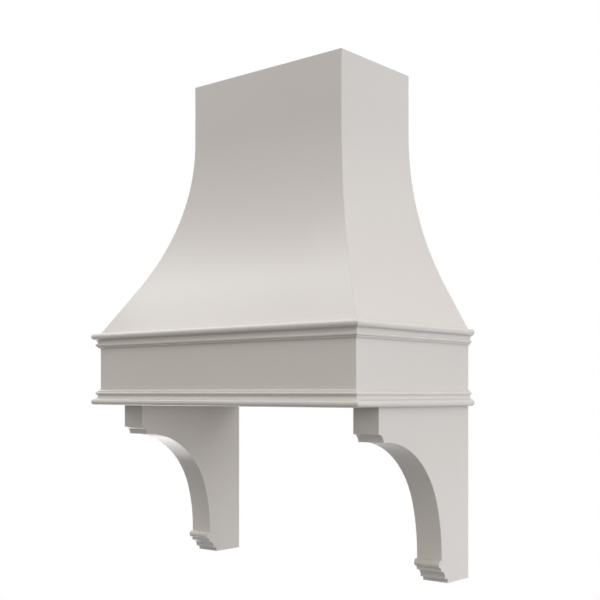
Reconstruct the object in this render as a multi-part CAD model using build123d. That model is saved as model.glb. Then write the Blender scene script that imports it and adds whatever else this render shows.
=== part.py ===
from build123d import *
import os
from math import acos, ceil, cos, radians, sin, tan

# Wooden range hood cover, in millimetres.
# The wall is the plane y = 0, the hood stands out from it towards -Y, and the apron's underside is at z = 0.
# x = 0 is the middle of the hood, and right is +X for someone who faces it.

# ---- Hood body ----
apron_width = 914.4  # outside, without the mouldings: 36 in
apron_depth = 495.3  # wall to the apron's face: 19 1/2 in
apron_height = 203.2  # both mouldings included: 8 in
hood_height = 914.4  # underside of the apron to the top: 36 in
flare_run = 190.5  # how far the apron's face stands out past the neck's, front and sides: 7 1/2 in
flare_lean = 30.7  # degrees off plumb of the flare's straight foot
neck_height = 160.0  # plumb stretch at the top
skin_thickness = 9.525
apron_thickness = 19.05

# ---- Moulding, from its outer edge inwards ----
moulding_height = 44.45  # 1 3/4 in
nose_reach = 19.05  # the whole moulding's reach past the apron's face
nose_radius = 8.85
cove_radius = 9.4
fillet_reach = 5.8
cove_fillet = 1.9
bead_radius = 4.55
bead_fillet = 2.35
bevel_height = 3.25
lip_thickness = 1.0

# ---- Frames of plywood rails ----
rail_thickness = 19.05
side_rail_width = 76.2
front_rail_width = 57.15
rear_rail_width = 50.8
top_rail_width = 38.1
back_rail_height = 88.9
corner_block_leg = 44.45
nailer_height = 88.9

# ---- Ribs under the skins ----
rib_thickness = 19.05
rib_depth = 44.45
front_rib_spacing = 304.8
side_rib_distance = 152.4  # wall to the middle of the side rib

# ---- Hooked cleats on the wall ----
cleat_thickness = 19.05
hood_cleat_height = 76.2
wall_cleat_height = 88.9
cleat_end_gap = 3.175  # cleat's end to the side skin
stud_spacing = 406.4  # wall studs: 16 in
wall_hole_radius = 3.2
wall_hole_rise = 38.1  # between the wall cleat's two rows of holes
wall_hole_edge = 19.05  # wall cleat's lower edge to its lower row

# ---- Brackets ----
bracket_depth = 406.4  # 16 in
bracket_height = 457.2  # 18 in
bracket_thickness = 76.2  # 3 in
cheek_thickness = 19.05
head_drop = 64.7
head_cove = 20.0
arch_turn = 17.7  # degrees of the arch that its flatter lower arc takes
arch_flat = 5.1  # level stretch before the arch
shaft_depth = 131.0
shaft_straight = 12.1
torus_radius = 10.0
torus_step = 4.0  # torus's middle past the shaft's face
foot_step = 2.0  # torus's middle past the fillet under it
foot_fillet = 9.0
foot_cove = 19.05
foot_lip = 2.0
plinth_step = 12.0
plinth_height = 11.2
edge_ease = 1.5  # softened outer edges of the brackets

# ---- Fastenings ----
spline_thickness = 4.0
spline_width = 16.0
spline_inset = 18.0  # along the mitre from the outer corner
spline_end = 12.7
dowel_radius = 4.0
dowel_length = 32.0
dowel_seat = 12.0  # how deep a dowel sits in the face it butts on
dowel_edge = 12.7  # a rail's edge to the nearest dowel
bracket_dowel_radius = 4.75
bracket_dowel_seat = 11.0  # how deep a dowel sits in each cheek
bracket_dowel_edge = 60.0
brad_radius = 0.6
brad_length = 20.0
brad_cover = 1.0  # filler over a sunk brad
brad_spacing = 150.0
brad_end = 30.0
screw_radius = 2.1
screw_head_radius = 4.2
screw_length = 31.75
long_screw_length = 50.8
cleat_screw_length = 35.0
driver_square = 2.6
driver_depth = 1.8
foot_screw_inset = 22.0  # apron's inner face to a rib's foot screw
hip_screw_inset = 33.0  # the same for a hip rib, past the corner block
block_screw_inset = 13.0
cleat_screw_edge = 19.05
cleat_screw_pitch = 160.0
bolt_radius = 3.175
bolt_head_radius = 6.35
bolt_head_height = 4.4
bolt_reach = 13.5  # below the base frame
bolt_clearance = 0.25
thread_clearance = 0.05
bolt_margin = 101.6  # bracket's front and back to the nearest bolt
washer_radius = 9.5
washer_thickness = 1.6
insert_radius = 5.0
insert_length = 15.0
insert_well = 3.0  # free depth under a threaded insert
keyhole_width = 20.0
keyhole_height = 48.0
keyhole_thickness = 3.0
keyhole_head_radius = 4.75
keyhole_slot_radius = 2.5
keyhole_travel = 14.0
keyhole_well = 10.0  # room behind the plate for the wall screw's head
keyhole_rise = 76.2  # bracket's bottom to the plate's middle
keyhole_screw_radius = 1.75
keyhole_screw_head_radius = 3.2
keyhole_screw_length = 16.0
keyhole_screw_edge = 5.0

# ---- Fan insert's screw holes, in the underside ----
insert_hole_radius = 1.6
insert_hole_spacing = 609.6
insert_hole_edge = 12.7  # opening's edge to the holes

# ---- Worked out from the sizes above ----
half_width = apron_width / 2
inner_width = half_width - apron_thickness
inner_depth = apron_depth - apron_thickness
neck_half_width = half_width - flare_run
neck_depth = apron_depth - flare_run
lean = radians(flare_lean)
flare_rise = hood_height - apron_height - neck_height
flare_radius = (flare_rise - flare_run / tan(lean)) / tan(lean / 2)
flare_centre = (flare_radius - flare_run, hood_height - neck_height)
neck_inner_width = neck_half_width - skin_thickness
neck_inner_depth = neck_depth - skin_thickness
opening_half_width = inner_width - side_rail_width
opening_front = inner_depth - front_rail_width
ledger_bottom = apron_height - rail_thickness
top_rail_bottom = hood_height - rail_thickness
back_rail_bottom = hood_height - back_rail_height
core_thickness = bracket_thickness - 2 * cheek_thickness
nose_centre = nose_reach - nose_radius
nose_turn = acos((fillet_reach + cove_radius - nose_centre) / (nose_radius + cove_radius))
cove_top = nose_radius + (nose_radius + cove_radius) * sin(nose_turn)
bead_foot = cove_top + cove_fillet
bevel_foot = bead_foot + 2 * bead_radius + bead_fillet
bevel_top = bevel_foot + bevel_height
brad_rise = cove_top + cove_fillet / 2
foot_height = plinth_height + foot_lip + foot_cove + foot_fillet + 2 * torus_radius
rib_front = cleat_thickness + rib_thickness  # wall to the wall ribs' front faces
top_rail_back = neck_inner_depth - top_rail_width


# ---- Shapes that several pieces share ----

# Side views are drawn outwards from the apron's face and upwards, once for the front and once for a side.
FRONT_VIEW = Plane(origin=(0, -apron_depth, 0), x_dir=(0, -1, 0), z_dir=(-1, 0, 0))
SIDE_VIEW = Plane(origin=(half_width, 0, 0), x_dir=(1, 0, 0), z_dir=(0, -1, 0))


def board(x_ends, y_ends, z_ends):
    """A square-edged board between two limits each way."""
    sizes = [abs(end - start) for start, end in (x_ends, y_ends, z_ends)]
    middle = [(start + end) / 2 for start, end in (x_ends, y_ends, z_ends)]
    return Pos(*middle) * Box(*sizes)


def mirrored(part):
    """The left hand of a right-hand piece."""
    return mirror(part, about=Plane.YZ)


def front_wedge():
    """Everything in front of the two mitre planes, which run plumb through the apron's front corners."""
    apex = half_width - apron_depth
    spread = apron_width
    corners = [(0, apex), (-spread, apex - spread), (spread, apex - spread)]
    tall = 2 * (hood_height + bracket_height)
    return extrude(make_face(Polyline(*corners, close=True)), tall / 2, both=True)


def front_run(view):
    """A side view run along the front and mitred at both ends."""
    return extrude(FRONT_VIEW * view, apron_width, both=True) & front_wedge()


def side_run(view):
    """A side view run along the right side, from the wall to the mitre."""
    return extrude(SIDE_VIEW * view, apron_depth + 2 * nose_reach, dir=(0, -1, 0)) - front_wedge()


def spread_evenly(start, end, pitch):
    """Places from start to end, evenly spread and no further apart than the pitch."""
    gaps = ceil(abs(end - start) / pitch)
    return [start + (end - start) * step / gaps for step in range(gaps + 1)]


# ---- Flared body ----


def flare_points(inset, top):
    """The flare's foot, its arc's start, middle and end, and its plumb top, at an inset under the face."""
    radius = flare_radius + inset
    arc = [
        (flare_centre[0] - radius * cos(turn), flare_centre[1] - radius * sin(turn))
        for turn in (lean, lean / 2, 0)
    ]
    foot = (-inset / cos(lean), apron_height)
    return [foot, *arc, (-flare_run - inset, top)]


def flare_band(outer, inner, top):
    """Side view of a band that follows the flare between two insets, up to a height."""
    a, b = flare_points(outer, top), flare_points(inner, top)
    return make_face(
        [
            Line(a[0], a[1]),
            ThreePointArc(a[1], a[2], a[3]),
            Line(a[3], a[4]),
            Line(a[4], b[4]),
            Line(b[4], b[3]),
            ThreePointArc(b[3], b[2], b[1]),
            Line(b[1], b[0]),
            Line(b[0], a[0]),
        ]
    )


def skins():
    view = flare_band(0, skin_thickness, hood_height)
    side = side_run(view)
    return {"front_skin": front_run(view), "left_skin": mirrored(side), "right_skin": side}


def front_rib(x, top):
    view = flare_band(skin_thickness, skin_thickness + rib_depth, top)
    return Pos(x, 0, 0) * extrude(FRONT_VIEW * view, rib_thickness / 2, both=True)


def side_rib(middle, top):
    view = flare_band(skin_thickness, skin_thickness + rib_depth, top)
    return Pos(0, -middle, 0) * extrude(SIDE_VIEW * view, rib_thickness / 2, both=True)


def hip_rib(top):
    """The rib behind the mitre, its edges backed off to meet both skins."""
    view = flare_band(skin_thickness, skin_thickness + rib_depth, top)
    both_ways = extrude(FRONT_VIEW * view, apron_width, both=True) & extrude(
        SIDE_VIEW * view, 2 * apron_depth, dir=(0, -1, 0)
    )
    slab = Box(2 * apron_depth, rib_thickness, 2 * hood_height)
    return both_ways & (Pos(half_width, -apron_depth, 0) * Rot(0, 0, -45) * slab)


def ribs():
    wall_rib = side_rib(rib_front - rib_thickness / 2, hood_height)
    side = side_rib(side_rib_distance, top_rail_bottom)
    hip = hip_rib(top_rail_bottom)
    return {
        "front_rib_left": front_rib(-front_rib_spacing / 2, top_rail_bottom),
        "front_rib_right": front_rib(front_rib_spacing / 2, top_rail_bottom),
        "left_hip_rib": mirrored(hip),
        "right_hip_rib": hip,
        "left_side_rib": mirrored(side),
        "right_side_rib": side,
        "left_wall_rib": mirrored(wall_rib),
        "right_wall_rib": wall_rib,
    }


# ---- Apron and its mouldings ----


def apron():
    view = Pos(-apron_thickness / 2, apron_height / 2) * Rectangle(apron_thickness, apron_height)
    side = side_run(view)
    return {"apron_front": front_run(view), "apron_left": mirrored(side), "apron_right": side}


def apron_splines():
    """A thin strip across each mitre, buried in both boards."""
    strip = Box(spline_width, spline_thickness, apron_height - 2 * spline_end)
    inset = spline_inset * sin(radians(45))
    spline = Pos(half_width - inset, inset - apron_depth, apron_height / 2) * Rot(0, 0, 45) * strip
    return [spline, mirrored(spline)]


def moulding_view(base, up):
    """The moulding from its nosed edge at the base: nose, cove, fillet, bead, fillet, bevel and lip."""
    cove_centre = fillet_reach + cove_radius

    def at(out, rise):
        return (out, base + up * rise)

    def on_nose(turn):
        return at(nose_centre + nose_radius * cos(turn), nose_radius + nose_radius * sin(turn))

    def on_cove(turn):
        return at(cove_centre - cove_radius * cos(turn), cove_top - cove_radius * sin(turn))

    return make_face(
        [
            Line(at(0, 0), at(nose_centre, 0)),
            ThreePointArc(at(nose_centre, 0), on_nose(0), on_nose(nose_turn)),
            ThreePointArc(on_nose(nose_turn), on_cove(nose_turn / 2), at(fillet_reach, cove_top)),
            Line(at(fillet_reach, cove_top), at(fillet_reach, bead_foot)),
            ThreePointArc(
                at(fillet_reach, bead_foot),
                at(fillet_reach + bead_radius, bead_foot + bead_radius),
                at(fillet_reach, bead_foot + 2 * bead_radius),
            ),
            Line(at(fillet_reach, bead_foot + 2 * bead_radius), at(fillet_reach, bevel_foot)),
            Line(at(fillet_reach, bevel_foot), at(lip_thickness, bevel_top)),
            Line(at(lip_thickness, bevel_top), at(lip_thickness, moulding_height)),
            Line(at(lip_thickness, moulding_height), at(0, moulding_height)),
            Line(at(0, moulding_height), at(0, 0)),
        ]
    )


def mouldings():
    made = {}
    for level, base, up in (("lower", 0, 1), ("upper", apron_height, -1)):
        view = moulding_view(base, up)
        side = side_run(view)
        made[f"{level}_moulding_front"] = front_run(view)
        made[f"{level}_moulding_left"] = mirrored(side)
        made[f"{level}_moulding_right"] = side
    return made


def moulding_brads():
    """Brads through the flat of each moulding into the apron, sunk and filled over."""
    middle = fillet_reach - brad_cover - brad_length / 2
    pin = Cylinder(brad_radius, brad_length)
    brads = []
    for z in (brad_rise, apron_height - brad_rise):
        for x in spread_evenly(brad_end - half_width, half_width - brad_end, brad_spacing):
            brads.append(Pos(x, -apron_depth - middle, z) * Rot(90, 0, 0) * pin)
        for y in spread_evenly(-brad_end, brad_end - apron_depth, brad_spacing):
            brad = Pos(half_width + middle, y, z) * Rot(0, 90, 0) * pin
            brads += [brad, mirrored(brad)]
    return brads


# ---- Frames inside the apron ----


def flat_frame(name, bottom):
    """Four rails laid flat inside the apron, around the opening for the fan insert."""
    heights = (bottom, bottom + rail_thickness)
    across = (-opening_half_width, opening_half_width)
    side = board((opening_half_width, inner_width), (-inner_depth, 0), heights)
    return {
        f"{name}_front_rail": board(across, (-inner_depth, -opening_front), heights),
        f"{name}_rear_rail": board(across, (-rear_rail_width, 0), heights),
        f"{name}_left_rail": mirrored(side),
        f"{name}_right_rail": side,
    }


def corner_block(corner, along_y, top):
    """A three-cornered glue block in an inside corner, standing on the base frame."""
    x, y = corner
    outline = [(x, y), (x - corner_block_leg, y), (x, y + along_y * corner_block_leg)]
    face = Pos(0, 0, rail_thickness) * make_face(Polyline(*outline, close=True))
    return extrude(face, top - rail_thickness, dir=(0, 0, 1))


def corner_blocks():
    front = corner_block((inner_width, -inner_depth), 1, ledger_bottom)
    rear = corner_block((inner_width, -rail_thickness), -1, rail_thickness + nailer_height)
    return {
        "front_left_corner_block": mirrored(front),
        "front_right_corner_block": front,
        "rear_left_corner_block": mirrored(rear),
        "rear_right_corner_block": rear,
    }


def lower_nailer():
    """The board across the back, through which the hood's foot is screwed to the wall."""
    heights = (rail_thickness, rail_thickness + nailer_height)
    nailer = board((-inner_width, inner_width), (-rail_thickness, 0), heights)
    middle = rail_thickness + nailer_height / 2
    hole = Rot(90, 0, 0) * Cylinder(wall_hole_radius, rail_thickness)
    for x in (-stud_spacing / 2, stud_spacing / 2):
        nailer -= Pos(x, -rail_thickness / 2, middle) * hole
    return nailer


# ---- Top frame and cleats ----


def top_frame():
    """Three rails laid flat inside the top of the neck, and a back rail on edge between the wall ribs."""
    heights = (top_rail_bottom, hood_height)
    widths = (neck_inner_width - top_rail_width, neck_inner_width)
    side = board(widths, (-top_rail_back, -rib_front), heights)
    back_half = neck_inner_width - rib_depth
    back_heights = (back_rail_bottom, hood_height)
    return {
        "top_front_rail": board(
            (-neck_inner_width, neck_inner_width), (-neck_inner_depth, -top_rail_back), heights
        ),
        "top_left_rail": mirrored(side),
        "top_right_rail": side,
        "top_back_rail": board((-back_half, back_half), (-rib_front, -cleat_thickness), back_heights),
    }


def cleats():
    """Two boards with one slanted edge each, so that the hood's hooks over the wall's."""
    half = neck_inner_width - cleat_end_gap
    hook = back_rail_bottom
    drop = hook - cleat_thickness  # both hooked edges slant at 45 degrees
    section = Plane(origin=(0, 0, 0), x_dir=(0, -1, 0), z_dir=(-1, 0, 0))
    hood_side = [(cleat_thickness, hook), (0, drop), (0, hook + hood_cleat_height)]
    hood_side.append((cleat_thickness, hook + hood_cleat_height))
    wall_side = [(cleat_thickness, hook), (0, drop), (0, hook - wall_cleat_height)]
    wall_side.append((cleat_thickness, hook - wall_cleat_height))
    hood_cleat, wall_cleat = (
        extrude(section * make_face(Polyline(*outline, close=True)), half, both=True)
        for outline in (hood_side, wall_side)
    )
    lower_row = hook - wall_cleat_height + wall_hole_edge
    for x in (-stud_spacing / 2, stud_spacing / 2):
        for z in (lower_row, lower_row + wall_hole_rise):
            hole = Rot(90, 0, 0) * Cylinder(wall_hole_radius, cleat_thickness)
            wall_cleat -= Pos(x, -cleat_thickness / 2, z) * hole
    return {"hood_cleat": hood_cleat, "wall_cleat": wall_cleat}


# ---- Brackets ----


def arch_points():
    """The arch's crown, upper arc's middle, join, lower arc's middle and spring, out from the wall."""
    turn = radians(arch_turn)
    across = bracket_depth - head_cove - arch_flat - shaft_depth
    down = bracket_height - head_drop - head_cove - shaft_straight - foot_height
    scale = cos(turn) * sin(turn) - (1 - cos(turn)) * (1 - sin(turn))
    upper = (across * sin(turn) - down * (1 - cos(turn))) / scale
    lower = (down * cos(turn) - across * (1 - sin(turn))) / scale
    crown = (shaft_depth + across, -head_drop - head_cove)
    spring = (shaft_depth, crown[1] - down)

    def on_upper(angle):
        return (crown[0] - upper * cos(angle), crown[1] - upper + upper * sin(angle))

    def on_lower(angle):
        return (shaft_depth + lower - lower * cos(angle), spring[1] + lower * sin(angle))

    middle = (radians(90) + turn) / 2
    return [crown, on_upper(middle), on_upper(turn), on_lower(turn / 2), spring]


def bracket_view():
    """The bracket's outline from the side, out from the wall and down from the apron."""
    slant = cos(radians(45))
    crown, upper_middle, join, lower_middle, spring = arch_points()
    cove_end = (bracket_depth - head_cove, -head_drop - head_cove)
    cove_middle = (bracket_depth - head_cove * slant, -head_drop - head_cove * (1 - slant))
    torus_depth = shaft_depth + torus_step
    fillet_depth = torus_depth - foot_step
    lip_depth = fillet_depth - foot_cove
    plinth_depth = lip_depth - plinth_step
    foot_top = foot_height - bracket_height
    fillet_top = foot_top - 2 * torus_radius
    fillet_foot = fillet_top - foot_fillet
    lip_top = fillet_foot - foot_cove
    plinth_top = lip_top - foot_lip
    return make_face(
        [
            Line((0, 0), (bracket_depth, 0)),
            Line((bracket_depth, 0), (bracket_depth, -head_drop)),
            ThreePointArc((bracket_depth, -head_drop), cove_middle, cove_end),
            Line(cove_end, crown),
            ThreePointArc(crown, upper_middle, join),
            ThreePointArc(join, lower_middle, spring),
            Line(spring, (shaft_depth, foot_top)),
            Line((shaft_depth, foot_top), (torus_depth, foot_top)),
            ThreePointArc(
                (torus_depth, foot_top),
                (torus_depth + torus_radius, foot_top - torus_radius),
                (torus_depth, fillet_top),
            ),
            Line((torus_depth, fillet_top), (fillet_depth, fillet_top)),
            Line((fillet_depth, fillet_top), (fillet_depth, fillet_foot)),
            ThreePointArc(
                (fillet_depth, fillet_foot),
                (fillet_depth - foot_cove * slant, lip_top + foot_cove * slant),
                (lip_depth, lip_top),
            ),
            Line((lip_depth, lip_top), (lip_depth, plinth_top)),
            Line((lip_depth, plinth_top), (plinth_depth, plinth_top)),
            Line((plinth_depth, plinth_top), (plinth_depth, -bracket_height)),
            Line((plinth_depth, -bracket_height), (0, -bracket_height)),
            Line((0, -bracket_height), (0, 0)),
        ]
    )


def bracket_layer(outer_x, thickness):
    section = Plane(origin=(outer_x, 0, 0), x_dir=(0, -1, 0), z_dir=(-1, 0, 0))
    return extrude(section * bracket_view(), thickness, dir=(-1, 0, 0))


def eased(face):
    """A cheek with its outer face's free edges softened, but not the edges on the wall and the apron."""
    free = [edge for edge in face.edges() if edge.center().Y < -edge_ease and edge.center().Z < -edge_ease]
    return fillet(free, edge_ease)


def brackets():
    outer = bracket_layer(half_width, cheek_thickness)
    outer = eased(outer.faces().sort_by(Axis.X)[-1])
    core = bracket_layer(half_width - cheek_thickness, core_thickness)
    inner = bracket_layer(half_width - cheek_thickness - core_thickness, cheek_thickness)
    inner = eased(inner.faces().sort_by(Axis.X)[0])
    core -= keyhole_well_cut()
    made = {}
    for name, layer in (("outer_cheek", outer), ("core", core), ("inner_cheek", inner)):
        made[f"left_bracket_{name}"] = mirrored(layer)
        made[f"right_bracket_{name}"] = layer
    return made


# ---- Keyhole plates ----

core_middle = half_width - cheek_thickness - core_thickness / 2
keyhole_level = keyhole_rise - bracket_height


def keyhole_well_cut():
    """Room in the bracket's core for the wall screw's head, behind the plate."""
    wide = 2 * (keyhole_head_radius + bolt_clearance)
    tall = keyhole_travel + wide
    return board(
        (core_middle - wide / 2, core_middle + wide / 2),
        (-keyhole_thickness - keyhole_well, 0),
        (keyhole_level - tall / 2, keyhole_level + tall / 2),
    )


def keyhole_plate():
    plate = Pos(core_middle, -keyhole_thickness / 2, keyhole_level) * Box(
        keyhole_width, keyhole_thickness, keyhole_height
    )
    entry = keyhole_level - keyhole_travel / 2
    rest = keyhole_level + keyhole_travel / 2
    through = Rot(90, 0, 0) * Cylinder(keyhole_head_radius, 2 * keyhole_thickness)
    plate -= Pos(core_middle, -keyhole_thickness / 2, entry) * through
    slot = Rot(90, 0, 0) * Cylinder(keyhole_slot_radius, 2 * keyhole_thickness)
    plate -= Pos(core_middle, -keyhole_thickness / 2, rest) * slot
    return plate - board(
        (core_middle - keyhole_slot_radius, core_middle + keyhole_slot_radius),
        (-keyhole_thickness, 0),
        (entry, rest),
    )


# ---- Fastenings ----


def wood_screw(length, radius, head_radius):
    """A countersunk screw driven down, its head flush with z = 0."""
    head_height = head_radius - radius
    point_height = 2 * radius
    shank = length - head_height - point_height
    screw = Pos(0, 0, -head_height / 2) * Cone(radius, head_radius, head_height)
    screw += Pos(0, 0, -head_height - shank / 2) * Cylinder(radius, shank)
    return screw + Pos(0, 0, -length + point_height / 2) * Cone(0, radius, point_height)


def driver_recess():
    return Pos(0, 0, -driver_depth / 2) * Box(driver_square, driver_square, driver_depth)


def screws(places, length, radius=screw_radius, head_radius=screw_head_radius):
    """Screws at the given places, and the holes that they fill."""
    hole = wood_screw(length, radius, head_radius)
    screw = hole - driver_recess()
    return [place * screw for place in places], [place * hole for place in places]


def foot_screws():
    """Up through the ledger frame into the foot of each rib."""
    across = inner_width - foot_screw_inset
    hip = inner_width - hip_screw_inset
    spots = [
        (across, rib_thickness / 2 - rib_front),
        (across, -side_rib_distance),
        (hip, hip_screw_inset - inner_depth),
        (front_rib_spacing / 2, foot_screw_inset - inner_depth),
    ]
    places = [Pos(side * x, y, ledger_bottom) * Rot(180, 0, 0) for x, y in spots for side in (-1, 1)]
    return screws(places, screw_length)


def head_screws():
    """Down through the top rails into the head of each rib."""
    across = neck_inner_width - top_rail_width / 2
    front = top_rail_width / 2 - neck_inner_depth
    spots = [(across, -side_rib_distance), (across, front), (front_rib_spacing / 2, front)]
    places = [Pos(side * x, y, hood_height) for x, y in spots for side in (-1, 1)]
    return screws(places, long_screw_length)


def block_screws():
    """Through the base frame into every corner block, and through the ledger frame into the front pair."""
    x = inner_width - block_screw_inset
    front = block_screw_inset - inner_depth
    rear = -rail_thickness - block_screw_inset
    upwards = [Pos(side * x, y, 0) * Rot(180, 0, 0) for y in (front, rear) for side in (-1, 1)]
    downwards = [Pos(side * x, front, apron_height) for side in (-1, 1)]
    return screws(upwards + downwards, screw_length)


def cleat_screws():
    """Through the hood's cleat into the wall ribs and the top back rail."""
    half = neck_inner_width - cleat_end_gap - cleat_screw_edge
    bottom, top = back_rail_bottom, back_rail_bottom + hood_cleat_height
    rows = (bottom + cleat_screw_edge, top - cleat_screw_edge)
    columns = spread_evenly(-half, half, cleat_screw_pitch)
    places = [Pos(x, 0, z) * Rot(-90, 0, 0) for x in columns for z in rows]
    return screws(places, cleat_screw_length)


def keyhole_screws():
    rise = keyhole_height / 2 - keyhole_screw_edge
    places = [
        Pos(side * core_middle, 0, keyhole_level + step) * Rot(-90, 0, 0)
        for side in (-1, 1)
        for step in (-rise, rise)
    ]
    return screws(places, keyhole_screw_length, keyhole_screw_radius, keyhole_screw_head_radius)


def dowel_pair(joint, low, high):
    """Two dowels across a butt joint, each near one edge of the narrower rail."""
    dowel = Cylinder(dowel_radius, dowel_length)
    return [joint(spot) * dowel for spot in (low + dowel_edge, high - dowel_edge)]


def frame_dowels():
    """Pairs of dowels across every butt joint of the two flat frames and the top frame."""
    reach = dowel_length / 2 - dowel_seat
    across, along = Rot(0, 90, 0), Rot(90, 0, 0)
    dowels = []
    x = opening_half_width - reach
    for z in (rail_thickness / 2, ledger_bottom + rail_thickness / 2):
        for low, high in ((-inner_depth, -opening_front), (-rear_rail_width, 0)):
            dowels += dowel_pair(lambda y: Pos(x, y, z) * across, low, high)
    z = hood_height - rail_thickness / 2
    for y in (-rib_front - reach, reach - top_rail_back):
        low, high = neck_inner_width - top_rail_width, neck_inner_width
        dowels += dowel_pair(lambda x: Pos(x, y, z) * along, low, high)
    x = neck_inner_width - rib_depth - reach
    y = rib_thickness / 2 - rib_front
    dowels += dowel_pair(lambda z: Pos(x, y, z) * across, back_rail_bottom, hood_height)
    return dowels + [mirrored(one) for one in dowels]


def bracket_dowels():
    """Dowels that hold the cheeks and the core in line."""
    dowel = Rot(0, 90, 0) * Cylinder(bracket_dowel_radius, core_thickness + 2 * bracket_dowel_seat)
    spots = [
        (bracket_dowel_edge, -bracket_dowel_edge),
        (bracket_depth - bracket_dowel_edge, -head_drop / 2),
        (shaft_depth / 2, -bracket_height / 2),
        (shaft_depth / 2, foot_height / 2 - bracket_height),
    ]
    dowels = [Pos(core_middle, -out, z) * dowel for out, z in spots]
    return dowels + [mirrored(one) for one in dowels]


def bracket_bolting():
    """Bolts down through the base frame into threaded inserts in the brackets' cores, and their holes."""
    # the bolts stand midway between the bracket's inner face and the apron board
    x = (half_width - bracket_thickness + inner_width) / 2
    shank_length = rail_thickness + washer_thickness + bolt_reach
    head_bottom = rail_thickness + washer_thickness
    bolt = Pos(0, 0, head_bottom - shank_length / 2) * Cylinder(bolt_radius, shank_length)
    head = extrude(RegularPolygon(bolt_head_radius, 6), bolt_head_height, dir=(0, 0, 1))
    bolt += Pos(0, 0, head_bottom) * head
    washer = Pos(0, 0, rail_thickness + washer_thickness / 2) * (
        Cylinder(washer_radius, washer_thickness)
        - Cylinder(bolt_radius + bolt_clearance, washer_thickness)
    )
    insert = Pos(0, 0, -insert_length / 2) * (
        Cylinder(insert_radius, insert_length) - Cylinder(bolt_radius + thread_clearance, insert_length)
    )
    hole = Pos(0, 0, rail_thickness / 2) * Cylinder(bolt_radius + bolt_clearance, rail_thickness)
    socket_depth = insert_length + insert_well
    socket = Pos(0, 0, -socket_depth / 2) * Cylinder(insert_radius, socket_depth)
    places = [Pos(side * x, y, 0) for y in (-bolt_margin, bolt_margin - bracket_depth) for side in (-1, 1)]
    bolts, washers, inserts = ([place * piece for place in places] for piece in (bolt, washer, insert))
    return bolts, washers, inserts, [place * cut for place in places for cut in (hole, socket)]


def insert_holes():
    """Screw holes for the fan insert's flange, through the base frame's front and rear rails."""
    hole = Pos(0, 0, rail_thickness / 2) * Cylinder(insert_hole_radius, rail_thickness)
    rows = (-rear_rail_width + insert_hole_edge, -opening_front - insert_hole_edge)
    return [Pos(side * insert_hole_spacing / 2, y, 0) * hole for y in rows for side in (-1, 1)]


# ---- Putting it together ----


def reaches(part, cutter):
    """Whether the two pieces' outlines come near each other on all three axes."""
    a, b = part.bounding_box(), cutter.bounding_box()
    return all(
        low < high
        for low, high in (
            (a.min.X, b.max.X),
            (b.min.X, a.max.X),
            (a.min.Y, b.max.Y),
            (b.min.Y, a.max.Y),
            (a.min.Z, b.max.Z),
            (b.min.Z, a.max.Z),
        )
    )


def drilled(part, cutters):
    """A piece with every hole that its fastenings need."""
    near = [cutter for cutter in cutters if reaches(part, cutter)]
    return part - near if near else part


def hood():
    pieces = {
        **skins(),
        **apron(),
        **mouldings(),
        **ribs(),
        **flat_frame("base", 0),
        **flat_frame("ledger", ledger_bottom),
        **corner_blocks(),
        "lower_nailer": lower_nailer(),
        **top_frame(),
        **cleats(),
        **brackets(),
    }
    plate = keyhole_plate()
    plates = [plate, mirrored(plate)]
    rib_foot_screws, rib_foot_holes = foot_screws()
    rib_head_screws, rib_head_holes = head_screws()
    corner_screws, corner_holes = block_screws()
    hood_cleat_screws, cleat_holes = cleat_screws()
    plate_screws, plate_holes = keyhole_screws()
    bolts, washers, inserts, bolt_holes = bracket_bolting()
    splines, brads = apron_splines(), moulding_brads()
    dowels, cheek_dowels = frame_dowels(), bracket_dowels()
    cutters = rib_foot_holes + rib_head_holes + corner_holes + cleat_holes + plate_holes + bolt_holes
    cutters += splines + brads + dowels + cheek_dowels + insert_holes()
    made = {name: drilled(piece, cutters + plates) for name, piece in pieces.items()}
    made["right_keyhole_plate"] = drilled(plates[0], plate_holes)
    made["left_keyhole_plate"] = drilled(plates[1], plate_holes)
    groups = {
        "apron_splines": splines,
        "moulding_brads": brads,
        "frame_dowels": dowels,
        "bracket_dowels": cheek_dowels,
        "rib_foot_screws": rib_foot_screws,
        "rib_head_screws": rib_head_screws,
        "corner_block_screws": corner_screws,
        "cleat_screws": hood_cleat_screws,
        "keyhole_screws": plate_screws,
        "bracket_bolts": bolts,
        "bracket_washers": washers,
        "bracket_inserts": inserts,
    }
    for name, group in groups.items():
        made[name] = Compound([solid for one in group for solid in one.solids()])
    return made


os.makedirs("parts", exist_ok=True)
for name, piece in hood().items():
    export_step(piece, f"parts/{name}.step")
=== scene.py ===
from math import acos, ceil, cos, degrees, radians, sin, tan

import bmesh
import bpy
from mathutils import Matrix, Vector


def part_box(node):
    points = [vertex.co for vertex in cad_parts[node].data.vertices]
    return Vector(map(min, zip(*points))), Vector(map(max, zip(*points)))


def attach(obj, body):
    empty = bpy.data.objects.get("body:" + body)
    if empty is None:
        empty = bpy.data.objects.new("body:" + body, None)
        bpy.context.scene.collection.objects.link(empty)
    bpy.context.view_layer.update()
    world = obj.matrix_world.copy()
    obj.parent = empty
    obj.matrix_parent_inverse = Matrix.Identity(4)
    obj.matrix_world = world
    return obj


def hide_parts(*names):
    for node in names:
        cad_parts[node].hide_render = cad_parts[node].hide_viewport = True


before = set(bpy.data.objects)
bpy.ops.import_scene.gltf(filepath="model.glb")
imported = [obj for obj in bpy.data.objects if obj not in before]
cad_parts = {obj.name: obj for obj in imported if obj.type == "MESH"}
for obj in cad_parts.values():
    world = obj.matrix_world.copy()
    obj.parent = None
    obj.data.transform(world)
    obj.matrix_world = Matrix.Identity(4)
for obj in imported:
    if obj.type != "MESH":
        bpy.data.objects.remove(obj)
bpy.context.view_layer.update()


# ---- Camera ----
# It stands level, to the right of the hood, a little above the underside of the apron.
# A lens shift brings the top of the hood into the picture and keeps the plumb edges parallel.

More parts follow.
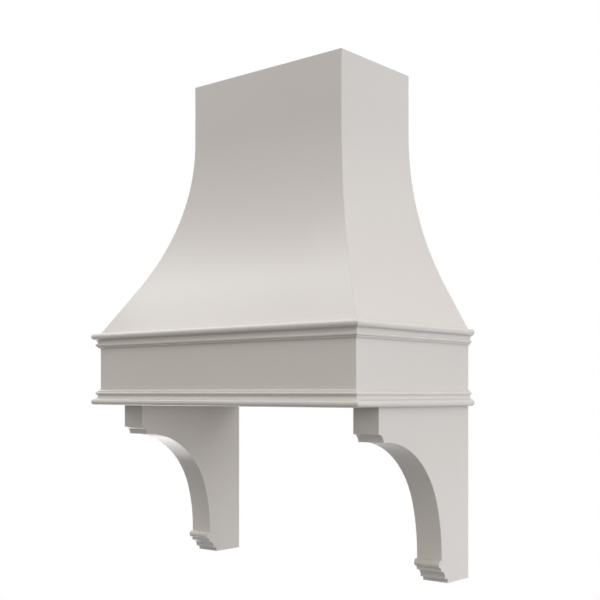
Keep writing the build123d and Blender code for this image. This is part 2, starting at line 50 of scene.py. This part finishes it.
camera = bpy.data.objects.new("camera", bpy.data.cameras.new("camera"))
bpy.context.scene.collection.objects.link(camera)
bpy.context.scene.camera = camera
camera_turn = 40.073  # degrees to the left of straight towards the wall
camera.location = (1.8706, -2.3751, 0.0340)
camera.rotation_euler = (radians(90), 0, radians(camera_turn))
camera.data.lens = 61.535
camera.data.sensor_width = 36
camera.data.shift_y = 0.155


# ---- Body: front, left and right skins ----
# Three sheets of bending plywood, glued over curved ribs and mitred at the corners.
# The corners are sanded round and the outside is sprayed with satin greige paint. The inside stays bare.

touching = 1e-6  # closer than this, two points are one


class Outline:
    """A side view, drawn with a moving point: out from a plumb face towards the front, and up."""

    chord_gap = 0.00002  # how far a chord may leave its arc

    def __init__(self, face_depth, out, up):
        self.face_depth = face_depth
        self.mesh = bmesh.new()
        self.ply = self.mesh.verts.layers.float.new("ply_depth")
        self.point = self.mesh.verts.new(self.place(out, up))

    def place(self, out, up):
        return Vector((0, -self.face_depth - out, up))

    def line(self, out, up, depth=0.0):
        self.point = bmesh.ops.extrude_vert_indiv(self.mesh, verts=[self.point])["verts"][0]
        self.point.co = self.place(out, up)
        self.point[self.ply] = depth

    def arc(self, out, up, turn):
        """Swings round the centre (out, up) by so many degrees, from outwards towards upwards."""
        centre = self.place(out, up)
        widest_step = 2 * acos(1 - self.chord_gap / (self.point.co - centre).length)
        spun = bmesh.ops.spin(
            self.mesh,
            geom=[self.point],
            cent=centre,
            axis=(-1, 0, 0),
            angle=radians(turn),
            steps=ceil(radians(abs(turn)) / widest_step),
        )
        self.point = spun["geom_last"][0]

    def close(self):
        """The finished view as one face in its own mesh."""
        bmesh.ops.remove_doubles(self.mesh, verts=self.mesh.verts, dist=touching)
        bmesh.ops.contextual_create(self.mesh, geom=self.mesh.edges)
        return self.mesh


def push(mesh, along):
    """Gives a flat face its length."""
    pushed = bmesh.ops.extrude_face_region(mesh, geom=mesh.faces, use_keep_orig=True)["geom"]
    bmesh.ops.translate(mesh, verts=[v for v in pushed if isinstance(v, bmesh.types.BMVert)], vec=along)


def cut(mesh, point, normal, closed=True):
    """Takes off all that lies past a plane, and closes the cut."""
    everything = mesh.verts[:] + mesh.edges[:] + mesh.faces[:]
    bmesh.ops.bisect_plane(
        mesh, geom=everything, dist=touching, plane_co=point, plane_no=normal, clear_outer=True
    )
    if closed:
        bmesh.ops.holes_fill(mesh, edges=[e for e in mesh.edges if e.is_boundary])


def flipped(mesh, matrix):
    """A mirror image of the mesh, as a new mesh."""
    image = mesh.copy()
    bmesh.ops.transform(image, matrix=matrix, verts=image.verts)
    bmesh.ops.reverse_faces(image, faces=image.faces)
    return image


def joined(first, second):
    """Two meshes as one, merged where they meet."""
    holder = bpy.data.meshes.new("holder")
    second.to_mesh(holder)
    first.from_mesh(holder)
    bpy.data.meshes.remove(holder)
    bmesh.ops.remove_doubles(first, verts=first.verts, dist=touching)
    return first


LEFT_HAND = Matrix.Scale(-1, 4, (1, 0, 0))
apron_low, apron_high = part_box("apron_front")
half_width, hood_depth, apron_top = apron_high.x, -apron_low.y, apron_high.z
corner = Vector((half_width, -hood_depth, 0))
across_mitre = Vector((1, 1, 0)).normalized()
ROUND_THE_CORNER = (
    Matrix.Translation(corner) @ Matrix.Scale(-1, 4, across_mitre) @ Matrix.Translation(-corner)
)


def sand(mesh, edges, ease):
    """Takes the sharpness off edges, to a small radius."""
    bmesh.ops.bevel(
        mesh,
        geom=edges,
        offset=ease,
        offset_type="OFFSET",
        segments=6,
        profile=0.5,
        affect="EDGES",
        material=-1,
        clamp_overlap=False,
    )


def mitred_runs(view, ease):
    """A side view run round the apron: the front, left and right lengths, with the outer corners eased."""
    mitre_at_wall = half_width - hood_depth
    bmesh.ops.translate(view, verts=view.verts, vec=(mitre_at_wall, 0, 0))
    push(view, (2 * hood_depth, 0, 0))
    cut(view, corner, across_mitre, closed=False)
    view = joined(view, flipped(view, ROUND_THE_CORNER))

    def on_mitre(edge):
        """Whether an edge lies in the mitre's plane, within the rounding of the cut."""
        return all(abs((v.co - corner).dot(across_mitre)) < 10 * touching for v in edge.verts)

    sand(view, [e for e in view.edges if on_mitre(e)], ease)
    right, front = view.copy(), view
    cut(right, corner, -across_mitre)
    cut(front, corner, across_mitre)
    cut(front, (0, 0, 0), (-1, 0, 0), closed=False)
    front = joined(front, flipped(front, LEFT_HAND))
    return {"front": front, "left": flipped(right, LEFT_HAND), "right": right}


OUTWARDS = {"front": Vector((0, -1, 0)), "left": Vector((-1, 0, 0)), "right": Vector((1, 0, 0))}


def faces_out(face, side):
    """Whether a face is on the outside of the hood, as the flare's leaning faces are."""
    return face.normal.dot(OUTWARDS[side]) > 0.2


sharp_from = 30  # degrees between two faces, from which their edge looks sharp


def piece(name, mesh, finishes, stands_for, bare):
    """Makes a mesh one piece of the hood, in place of a CAD node. Its bare faces get the second finish."""
    bmesh.ops.recalc_face_normals(mesh, faces=mesh.faces)
    for face in mesh.faces:
        face.smooth = True
        face.material_index = int(bare(face))
    data = bpy.data.meshes.new(name)
    mesh.to_mesh(data)
    mesh.free()
    data.set_sharp_from_angle(angle=radians(sharp_from))
    for finish in finishes:
        data.materials.append(finish)
    made = bpy.data.objects.new(name, data)
    bpy.context.scene.collection.objects.link(made)
    shading = made.modifiers.new("flat_faces_stay_flat", "WEIGHTED_NORMAL")
    shading.keep_sharp = True
    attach(made, "root")
    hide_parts(stands_for)


class Signal:
    """A number, colour or vector that changes over a surface: one output of a finish's nodes."""

    def __init__(self, finish, socket):
        self.finish = finish
        self.socket = socket

    def maths(self, operation, *values):
        return self.finish.node("ShaderNodeMath", {"operation": operation}, dict(enumerate(values)))

    def __add__(self, other):
        return self.maths("ADD", self, other)

    def __mul__(self, other):
        return self.maths("MULTIPLY", self, other)

    def __sub__(self, other):
        return self.maths("SUBTRACT", self, other)

    def __rsub__(self, other):
        return self.maths("SUBTRACT", other, self)

    def __mod__(self, other):
        return self.maths("FLOORED_MODULO", self, other)

    def __gt__(self, other):
        return self.maths("GREATER_THAN", self, other)

    def __lt__(self, other):
        return self.maths("LESS_THAN", self, other)

    __radd__ = __add__
    __rmul__ = __mul__


class Finish:
    """A surface finish, or the studio's surroundings, built node by node."""

    def __init__(self, name, kind="materials"):
        self.owner = getattr(bpy.data, kind).new(name)
        self.owner.use_nodes = True
        self.tree = self.owner.node_tree
        self.tree.nodes.clear()

    def node(self, kind, settings, inputs, output=None):
        """Adds a node: its settings first, then a value or a link for each named or numbered input."""
        node = self.tree.nodes.new(kind)
        for name, value in settings.items():
            if name == "stops":
                node.color_ramp.elements.remove(node.color_ramp.elements[1])
                for place, colour in value[1:]:
                    node.color_ramp.elements.new(place).color = (*colour, 1)
                node.color_ramp.elements[0].position = value[0][0]
                node.color_ramp.elements[0].color = (*value[0][1], 1)
            else:
                setattr(node, name, value)
        sockets = [s for s in node.inputs if s.enabled]
        for name, value in inputs.items():
            socket = sockets[name] if isinstance(name, int) else next(s for s in sockets if s.name == name)
            if isinstance(value, Signal):
                self.tree.links.new(value.socket, socket)
            else:
                socket.default_value = value
        outputs = [s for s in node.outputs if s.enabled and output in (None, s.name)]
        return Signal(self, outputs[0]) if outputs else None

    def place(self, stretch=(1, 1, 1), turn=(0, 0, 0)):
        """The place on the object, in metres, turned and then stretched for a pattern."""
        where = self.node("ShaderNodeTexCoord", {}, {}, "Object")
        turned = self.node("ShaderNodeMapping", {}, {"Vector": where, "Rotation": turn})
        return self.node("ShaderNodeMapping", {}, {"Vector": turned, "Scale": stretch})

    def along(self, axis, where):
        """How far a place lies along X, Y or Z."""
        return self.node("ShaderNodeSeparateXYZ", {}, {"Vector": where}, axis)

    def noise(self, where, scale, detail=2.0):
        return self.node("ShaderNodeTexNoise", {}, {"Vector": where, "Scale": scale, "Detail": detail})

    def ramp(self, signal, *stops):
        return self.node("ShaderNodeValToRGB", {"stops": stops}, {"Fac": signal})

    def mix(self, share, first, second, blend="MIX"):
        settings = {"data_type": "RGBA", "blend_type": blend}
        return self.node("ShaderNodeMix", settings, {"Factor": share, "A": first, "B": second})

    def bump(self, height, distance):
        return self.node("ShaderNodeBump", {}, {"Height": height, "Distance": distance})

    def end(self, shader, kind="ShaderNodeOutputMaterial"):
        """Ends the nodes in a shader, and gives the material or the world that they make."""
        self.node(kind, {}, {"Surface": shader})
        return self.owner

    def close(self, **inputs):
        """Ends a finish in one Principled shader, and gives its material."""
        named = {name.replace("_", " "): value for name, value in inputs.items()}
        return self.end(self.node("ShaderNodeBsdfPrincipled", {}, named))


def greige(finish):
    """The paint's colour, a little darker and lighter in faint clouds."""
    cloud = finish.noise(finish.place(), 2.3, 3.0)
    return finish.ramp(cloud, (0.3, (0.655, 0.618, 0.580)), (0.7, (0.675, 0.638, 0.598)))


def satin_paint():
    """Sprayed satin paint: faintly cloudy in its colour and sheen, with a fine spray texture."""
    finish = Finish("satin_greige_paint")
    place = finish.place()
    sheen = finish.noise(place, 38.0, 3.0) * 0.06 + 0.22
    spray = finish.noise(place, 520.0) + finish.noise(place, 60.0) * 1.5
    return finish.close(Base_Color=greige(finish), Roughness=sheen, Normal=finish.bump(spray, 0.00003))


paint = satin_paint()


def bending_ply():
    """Bare bending plywood: an open-grained face inside, and its plies where the edge shows."""
    finish = Finish("bare_bending_plywood")
    grain = finish.noise(finish.place(stretch=(5, 5, 60)), 4.0, 5.0)
    face = finish.ramp(grain, (0.35, (0.40, 0.26, 0.16)), (0.65, (0.58, 0.42, 0.28)))
    depth = finish.node("ShaderNodeAttribute", {"attribute_name": "ply_depth"}, {}, "Fac")
    plies = 2.5  # pairs of dark and light
    light_ply = depth * plies % 1 > 0.5
    edge = finish.ramp(light_ply, (0.0, (0.33, 0.21, 0.13)), (1.0, (0.62, 0.47, 0.32)))
    on_edge = depth < 0.98
    colour = finish.mix(on_edge, face, edge)
    return finish.close(Base_Color=colour, Roughness=0.7, Normal=finish.bump(grain, 0.0002))


bare_ply = bending_ply()

neck_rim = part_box("top_front_rail")[1]
skin_thickness = 0.009525
flare_run = half_width - neck_rim.x - skin_thickness
flare_lean = 30.7  # degrees off plumb, at the foot
neck_height = 0.160
arc_top = neck_rim.z - neck_height
slant = radians(flare_lean)
flare_radius = (arc_top - apron_top - flare_run / tan(slant)) / tan(slant / 2)
arc_centre = flare_radius - flare_run

skin_view = Outline(hood_depth, 0, apron_top)
skin_view.line(arc_centre - flare_radius * cos(slant), arc_top - flare_radius * sin(slant))
skin_view.arc(arc_centre, arc_top, -flare_lean)
skin_view.line(-flare_run, neck_rim.z)
skin_view.line(-flare_run - skin_thickness, neck_rim.z, depth=1.0)
skin_view.line(-flare_run - skin_thickness, arc_top, depth=1.0)
skin_view.arc(arc_centre, arc_top, flare_lean)
skin_view.line(-skin_thickness / cos(slant), apron_top, depth=1.0)
skin_view.line(0, apron_top)
skin_corner_ease = 0.0015

for side, mesh in mitred_runs(skin_view.close(), skin_corner_ease).items():
    piece(
        f"{side}_skin_painted",
        mesh,
        [paint, bare_ply],
        f"{side}_skin",
        bare=lambda face: not faces_out(face, side),
    )


# ---- Apron: front, left and right boards ----
# Poplar boards on edge round the foot of the body, mitred and splined, with their corners sanded round.
# They are painted outside and underneath, and bare inside.

ACROSS, FORWARD, UP = Vector((1, 0, 0)), Vector((0, -1, 0)), Vector((0, 0, 1))


def turned_to(grain, through):
    """The turn that brings a board's grain to x and its thickness to z, for a pattern drawn that way."""
    return Matrix((grain, through.cross(grain), through)).to_euler()


def bare_poplar(name, grain, through):
    """Planed poplar: broad soft growth bands with a green-brown heart, drawn out along the grain."""
    finish = Finish(name)
    turn = turned_to(grain, through)
    figure = finish.noise(finish.place(stretch=(1.2, 22, 22), turn=turn), 1.6, 2.0)
    bands = figure * 9 % 1
    pores = finish.noise(finish.place(stretch=(20, 500, 500), turn=turn), 1.0, 3.0)
    tone = bands * 0.5 + pores * 0.5
    colour = finish.ramp(
        tone, (0.15, (0.47, 0.39, 0.24)), (0.5, (0.60, 0.51, 0.33)), (0.85, (0.69, 0.61, 0.43))
    )
    return finish.close(Base_Color=colour, Roughness=0.62, Normal=finish.bump(tone, 0.0001))


poplar_across = bare_poplar("bare_poplar_across", ACROSS, FORWARD)
poplar_fore_aft = bare_poplar("bare_poplar_fore_aft", FORWARD, ACROSS)
poplar_upright = bare_poplar("bare_poplar_upright", UP, ACROSS)

apron_thickness = apron_high.y - apron_low.y
apron_view = Outline(hood_depth, 0, 0)
apron_view.line(0, apron_top)
apron_view.line(-apron_thickness, apron_top)
apron_view.line(-apron_thickness, 0)
apron_view.line(0, 0)
apron_corner_ease = 0.0015


def faces_down(face):
    return face.normal.z < -0.5


for side, mesh in mitred_runs(apron_view.close(), apron_corner_ease).items():
    piece(
        f"{side}_apron_board",
        mesh,
        [paint, poplar_across if side == "front" else poplar_fore_aft],
        f"apron_{side}",
        bare=lambda face: not faces_out(face, side) and not faces_down(face),
    )


# ---- Upper and lower mouldings ----
# Poplar moulding round the top and the foot of the apron, nosed edge outwards, mitred, glued and bradded.
# From its nosed edge: a nose that sweeps into a cove, a fillet, a bead, a fillet, a bevel and a thin lip.

moulding_height = 0.04445
nose_reach = 0.01905
nose_radius = 0.00885
nose_centre = nose_reach - nose_radius
cove_radius = 0.0094
fillet_reach = 0.0058
cove_fillet = 0.0019
bead_radius = 0.00455
bead_fillet = 0.00235
bevel_height = 0.00325
lip_thickness = 0.0010
nose_turn = acos((fillet_reach + cove_radius - nose_centre) / (nose_radius + cove_radius))
moulding_corner_ease = 0.0008


def faces_wall(face):
    return face.normal.y > 0.9


def moulding_view(base, up):
    """The moulding's side view, from its nosed edge at the base; up is 1, or -1 for one that hangs."""
    view = Outline(hood_depth, 0, base)

    def on_to(out, rise):
        view.line(out, base + up * rise)

    def swing(out, rise, turn):
        view.arc(out, base + up * rise, up * turn)

    cove_top = nose_radius + (nose_radius + cove_radius) * sin(nose_turn)
    bead_foot = cove_top + cove_fillet
    bevel_foot = bead_foot + 2 * bead_radius + bead_fillet
    on_to(nose_centre, 0)
    swing(nose_centre, nose_radius, 90 + degrees(nose_turn))
    swing(fillet_reach + cove_radius, cove_top, -degrees(nose_turn))
    on_to(fillet_reach, bead_foot)
    swing(fillet_reach, bead_foot + bead_radius, 180)
    on_to(fillet_reach, bevel_foot)
    on_to(lip_thickness, bevel_foot + bevel_height)
    on_to(lip_thickness, moulding_height)
    on_to(0, moulding_height)
    view.line(0, base)
    return view.close()


for level, base, up in (("lower", 0, 1), ("upper", apron_top, -1)):
    for side, mesh in mitred_runs(moulding_view(base, up), moulding_corner_ease).items():
        piece(
            f"{side}_{level}_moulding",
            mesh,
            [paint, poplar_across if side == "front" else poplar_fore_aft],
            f"{level}_moulding_{side}",
            bare=lambda face: side != "front" and faces_wall(face),
        )


# ---- Brackets ----
# Each is sawn from poplar in three layers, glued up on dowels: an outer cheek, a core and an inner cheek.
# They have a square head with a cove, a long arch, and a foot of torus, cove and plinth, all painted.

bracket_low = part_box("right_bracket_core")[0]
bracket_depth, bracket_bottom = -bracket_low.y, bracket_low.z
head_drop = 0.0647
head_cove = 0.020
arch_flat = 0.0051
arch_turn = 17.7  # degrees of the long lower curve; the upper one makes up the quarter
shaft_depth = 0.131
shaft_straight = 0.0121
torus_radius = 0.010
torus_step = 0.004
foot_step = 0.002
foot_fillet = 0.009
foot_cove = 0.01905
foot_lip = 0.002
plinth_step = 0.012
plinth_height = 0.0112
bracket_ease = 0.0012


def bracket_view():
    """The bracket's side view: out from the wall, and up from the foot to the apron."""
    foot_top = bracket_bottom + plinth_height + foot_lip + foot_cove + foot_fillet + 2 * torus_radius
    crown_up = -head_drop - head_cove
    spring_up = foot_top + shaft_straight
    across = bracket_depth - head_cove - arch_flat - shaft_depth
    down = crown_up - spring_up
    turn = radians(arch_turn)
    scale = cos(turn) * sin(turn) - (1 - cos(turn)) * (1 - sin(turn))
    upper_radius = (across * sin(turn) - down * (1 - cos(turn))) / scale
    lower_radius = (down * cos(turn) - across * (1 - sin(turn))) / scale
    torus_out = shaft_depth + torus_step
    fillet_out = torus_out - foot_step
    lip_out = fillet_out - foot_cove
    plinth_out = lip_out - plinth_step

    view = Outline(0, 0, 0)
    view.line(bracket_depth, 0)
    view.line(bracket_depth, -head_drop)
    view.arc(bracket_depth, crown_up, 90)
    view.line(shaft_depth + across, crown_up)
    view.arc(shaft_depth + across, crown_up - upper_radius, 90 - arch_turn)
    view.arc(shaft_depth + lower_radius, spring_up, arch_turn)
    view.line(shaft_depth, foot_top)
    view.line(torus_out, foot_top)
    view.arc(torus_out, foot_top - torus_radius, -180)
    view.line(fillet_out, foot_top - 2 * torus_radius)
    view.line(fillet_out, foot_top - 2 * torus_radius - foot_fillet)
    view.arc(fillet_out, bracket_bottom + plinth_height + foot_lip, 90)
    view.line(lip_out, bracket_bottom + plinth_height)
    view.line(plinth_out, bracket_bottom + plinth_height)
    view.line(plinth_out, bracket_bottom)
    view.line(0, bracket_bottom)
    view.line(0, 0)
    return view.close()


def free_edges(mesh, face_x):
    """The edges round a cheek's outer face, but for those on the wall and under the apron."""
    for edge in mesh.edges:
        middle = (edge.verts[0].co + edge.verts[1].co) / 2
        on_face = all(abs(v.co.x - face_x) < touching for v in edge.verts)
        if on_face and middle.y < -touching and middle.z < -touching:
            yield edge


for layer in ("outer_cheek", "inner_cheek"):
    low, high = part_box(f"right_bracket_{layer}")
    mesh = bracket_view()
    bmesh.ops.translate(mesh, verts=mesh.verts, vec=(low.x, 0, 0))
    push(mesh, (high.x - low.x, 0, 0))
    face_x = high.x if layer == "outer_cheek" else low.x
    sand(mesh, list(free_edges(mesh, face_x)), bracket_ease)
    for hand, made in (("left", flipped(mesh, LEFT_HAND)), ("right", mesh)):
        piece(
            f"{hand}_bracket_{layer}_painted",
            made,
            [paint, poplar_upright],
            f"{hand}_bracket_{layer}",
            bare=faces_wall,
        )


def dress(finish, *nodes):
    """Gives CAD nodes that keep their own shape a finish."""
    for node in nodes:
        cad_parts[node].material_slots[0].material = finish


def painted_core():
    """The core between the cheeks: painted like them, and bare poplar where it meets the wall."""
    finish = Finish("painted_bracket_core")
    paint_edge = -0.0004  # the paint ends this close to the wall
    at_wall = finish.along("Y", finish.place()) > paint_edge
    grain = finish.noise(finish.place(stretch=(120, 120, 6)), 3.0, 4.0)
    wood = finish.ramp(grain, (0.3, (0.50, 0.42, 0.26)), (0.7, (0.66, 0.58, 0.40)))
    colour = finish.mix(at_wall, greige(finish), wood)
    return finish.close(Base_Color=colour, Roughness=at_wall * 0.35 + 0.25)


dress(painted_core(), "left_bracket_core", "right_bracket_core")


# ---- Keyhole plates ----
# A stamped steel plate let into the back of each bracket, with a keyhole that drops over a wall screw.
# Bright zinc plate, held by two countersunk screws.


def zinc_plate():
    """Bright zinc plate: cool grey, lightly mottled, with faint drawing marks."""
    finish = Finish("bright_zinc_plate")
    mottle = finish.noise(finish.place(), 180.0, 3.0)
    colour = finish.ramp(mottle, (0.3, (0.60, 0.62, 0.66)), (0.7, (0.76, 0.77, 0.79)))
    return finish.close(
        Base_Color=colour,
        Metallic=1.0,
        Roughness=mottle * 0.25 + 0.22,
        Normal=finish.bump(mottle, 0.00004),
    )


zinc = zinc_plate()
dress(zinc, "left_keyhole_plate", "right_keyhole_plate", "keyhole_screws")


# ---- Base frame ----
# Four rails of birch plywood laid flat around the opening for the fan insert, dowelled and glued.
# The underside is seen from the stove, so it is painted; the spray drifts a little up the opening's edges.

board_thickness = 0.01905


def birch_ply(name, grain, through, lift=0.0, painted_below=False):
    """Sanded birch plywood: long grain on its faces, and its plies in dark and light lines on its edges."""
    finish = Finish(name)
    turn = turned_to(grain, through)
    plies = 12
    figure = finish.noise(finish.place(stretch=(3, 40, 40), turn=turn), 2.2, 4.0)
    flecks = finish.noise(finish.place(stretch=(60, 900, 900), turn=turn), 1.0, 2.0)
    depth = finish.along("Z", finish.place(turn=turn)) + lift
    ply = (depth * (plies / board_thickness) + 0.5) % 2
    tone = figure * 0.7 + flecks * 0.3
    veneer = finish.ramp(
        tone, (0.3, (0.62, 0.45, 0.28)), (0.55, (0.74, 0.58, 0.39)), (0.8, (0.80, 0.66, 0.47))
    )
    end_grain = finish.mix(0.55, veneer, (0.36, 0.23, 0.13, 1), blend="MULTIPLY")
    wood = finish.mix(ply > 1, veneer, end_grain)
    if not painted_below:
        return finish.close(Base_Color=wood, Roughness=0.6, Normal=finish.bump(tone, 0.00008))
    drift = finish.noise(finish.place(), 300.0, 4.0) * 0.012 - 0.004
    sprayed = finish.along("Z", finish.place()) < drift
    colour = finish.mix(sprayed, wood, greige(finish))
    sheen = 0.6 - sprayed * 0.25
    return finish.close(Base_Color=colour, Roughness=sheen, Normal=finish.bump(tone, 0.00005))


base_across = birch_ply("base_ply_across", ACROSS, UP, painted_below=True)
base_fore_aft = birch_ply("base_ply_fore_aft", FORWARD, UP, painted_below=True)
dress(base_across, "base_front_rail", "base_rear_rail")
dress(base_fore_aft, "base_left_rail", "base_right_rail")


# ---- Ledger frame ----
# The same four rails again, level with the apron's top: the ribs of the body stand on them.
# Birch plywood, left bare.

ply_across = birch_ply("birch_ply_across", ACROSS, UP)
ply_fore_aft = birch_ply("birch_ply_fore_aft", FORWARD, UP)
dress(ply_across, "ledger_front_rail", "ledger_rear_rail")
dress(ply_fore_aft, "ledger_left_rail", "ledger_right_rail")


# ---- Ribs ----
# Eight ribs bandsawn from birch plywood to the flare's curve; the skins are bent and glued over them.
# Two behind the front skin, two in the hips, two in the sides and two against the wall.

dress(birch_ply("birch_ply_front_ribs", UP, ACROSS), "front_rib_left", "front_rib_right")
dress(
    birch_ply("birch_ply_side_ribs", UP, FORWARD),
    "left_side_rib",
    "right_side_rib",
    "left_wall_rib",
    "right_wall_rib",
)

hip_middle = (half_width - hood_depth) / 2**0.5
hip_lift = board_thickness / 2 - hip_middle
for hand, through in (("right", Vector((1, 1, 0))), ("left", Vector((-1, 1, 0)))):
    dress(birch_ply(f"birch_ply_{hand}_hip_rib", UP, through.normalized(), lift=hip_lift), f"{hand}_hip_rib")


# ---- Top frame ----
# Three flat rails inside the neck's rim and one on edge at the back, between the wall ribs.
# Birch plywood, bare; the duct rises through the middle.

dress(ply_across, "top_front_rail")
dress(ply_fore_aft, "top_left_rail", "top_right_rail")
dress(birch_ply("birch_ply_on_edge", ACROSS, FORWARD), "top_back_rail")


# ---- Corner blocks ----
# Three-cornered poplar blocks, upright in the apron's inside corners, two of them against the wall.
# They are glued in, and screwed through the two frames.

dress(
    poplar_upright,
    "front_left_corner_block",
    "front_right_corner_block",
    "rear_left_corner_block",
    "rear_right_corner_block",
)


# ---- Hooked cleats and lower nailer ----
# Two poplar boards with slanted edges: one screwed to the hood's ribs, one to the wall, hooked together.
# A third board across the foot of the back takes two screws into the studs.

dress(poplar_across, "hood_cleat", "wall_cleat", "lower_nailer")


# ---- Splines and dowels ----
# Thin beech strips across the apron's mitres, let into grooves in both boards.
# Turned beech pins in the frames' butt joints and through the brackets' layers, all glued.


def turned_beech():
    """Bare beech: pale pink-brown with short fine flecks along the grain."""
    finish = Finish("bare_beech")
    flecks = finish.noise(finish.place(stretch=(300, 300, 60)), 1.0, 3.0)
    colour = finish.ramp(flecks, (0.35, (0.55, 0.38, 0.25)), (0.65, (0.70, 0.52, 0.36)))
    return finish.close(Base_Color=colour, Roughness=0.55, Normal=finish.bump(flecks, 0.00005))


dress(turned_beech(), "apron_splines", "frame_dowels", "bracket_dowels")


# ---- Screws and brads ----
# Countersunk zinc-plated wood screws through the frames into ribs, blocks and cleat.
# Brads through the mouldings are sunk and filled over.

dress(zinc, "rib_foot_screws", "rib_head_screws", "corner_block_screws", "cleat_screws", "moulding_brads")


# ---- Bracket bolts, washers and inserts ----
# Each bracket hangs on two zinc-plated hexagon bolts with washers, dropped through the base frame.
# They screw into threaded brass inserts in the top of the bracket's core.


def turned_brass():
    """Machined brass, slightly dulled."""
    finish = Finish("turned_brass")
    dull = finish.noise(finish.place(), 250.0, 3.0)
    colour = finish.ramp(dull, (0.3, (0.60, 0.42, 0.17)), (0.7, (0.78, 0.58, 0.27)))
    return finish.close(Base_Color=colour, Metallic=1.0, Roughness=dull * 0.25 + 0.2)


dress(zinc, "bracket_bolts", "bracket_washers")
dress(turned_brass(), "bracket_inserts")


# ---- Stage ----
# A plain pale floor far below, white walls, and eight soft lamps: the light falls mostly from above.
# The strongest come from the upper left and from the right; a low one behind lights the left arch.

floor_reach = 6
floor_level = -3.2
floor_mesh = bmesh.new()
bmesh.ops.create_grid(floor_mesh, x_segments=1, y_segments=1, size=floor_reach)
bmesh.ops.translate(floor_mesh, verts=floor_mesh.verts, vec=(0, 0, floor_level))
floor_data = bpy.data.meshes.new("floor")
floor_mesh.to_mesh(floor_data)
floor_mesh.free()
floor = bpy.data.objects.new("floor", floor_data)
bpy.context.scene.collection.objects.link(floor)


white = (1, 1, 1, 1)


def seen_as_white(finish):
    """1 for the rays that see the studio as plain white, 0 for the light that falls on things."""
    kinds = ("Camera", "Glossy", "Transmission")
    rays = [finish.node("ShaderNodeLightPath", {}, {}, f"Is {kind} Ray") for kind in kinds]
    return sum(rays) > 0.5


shadow_share = 0.15  # how far the floor shows the hood's shadow
floor_glow = 1.15  # brings the floor round the shadow back to white
pale_floor = Finish("pale_floor")
matt = pale_floor.node("ShaderNodeBsdfDiffuse", {}, {"Color": (0.15, 0.15, 0.15, 1)})
glow = pale_floor.node("ShaderNodeEmission", {}, {"Color": white, "Strength": floor_glow})
seen = seen_as_white(pale_floor) * (1 - shadow_share)
pale = pale_floor.node("ShaderNodeMixShader", {}, {0: seen, 1: matt, 2: glow})
floor_data.materials.append(pale_floor.end(pale))

light_from_above = 0.88
light_from_below = 0.05
warm_white = (1.0, 0.978, 0.936, 1)
walls = Finish("studio_walls", kind="worlds")
direction = walls.node("ShaderNodeTexCoord", {}, {}, "Generated")
above = walls.along("Z", direction) > 0
lit = above * (light_from_above - light_from_below) + light_from_below
seen = seen_as_white(walls)
colour = walls.mix(seen, warm_white, white)
strength = (1 - lit) * seen + lit
studio = walls.node("ShaderNodeBackground", {}, {"Color": colour, "Strength": strength})
bpy.context.scene.world = walls.end(studio, "ShaderNodeOutputWorld")

middle = Vector((0, -0.25, 0.2))
lamp_distance = 3.2
cool = (0.97, 1.0, 1.09)
warm = (1.0, 0.98, 0.955)
for name, turn, rise, size, watts, tint in (
    ("right", 60, 5, 1.6, 9.4, cool),
    ("right_back", 120, 5, 1.6, 11.2, cool),
    ("right_back_high", 135, 30, 1.6, 5.9, cool),
    ("right_low", 90, -25, 1.6, 14.6, cool),
    ("right_back_low", 150, -25, 1.6, 4.1, cool),
    ("left_high", 281, 48, 1.7, 17.6, cool),
    ("front_high", 328, 60, 1.6, 12.6, cool),
    ("left_back_low", 251, -34, 1.4, 13.4, warm),
):
    lamp = bpy.data.lights.new(f"lamp_{name}", "AREA")
    lamp.shape = "SQUARE"
    lamp.size = size
    lamp.energy = watts
    lamp.color = tint
    placed = bpy.data.objects.new(f"lamp_{name}", lamp)
    bpy.context.scene.collection.objects.link(placed)
    sideways = Vector((sin(radians(turn)), -cos(radians(turn)), 0))
    away = sideways * cos(radians(rise)) + UP * sin(radians(rise))
    placed.location = middle + lamp_distance * away
    placed.rotation_euler = away.to_track_quat("Z", "Y").to_euler()

bpy.context.scene.view_settings.view_transform = "Standard"
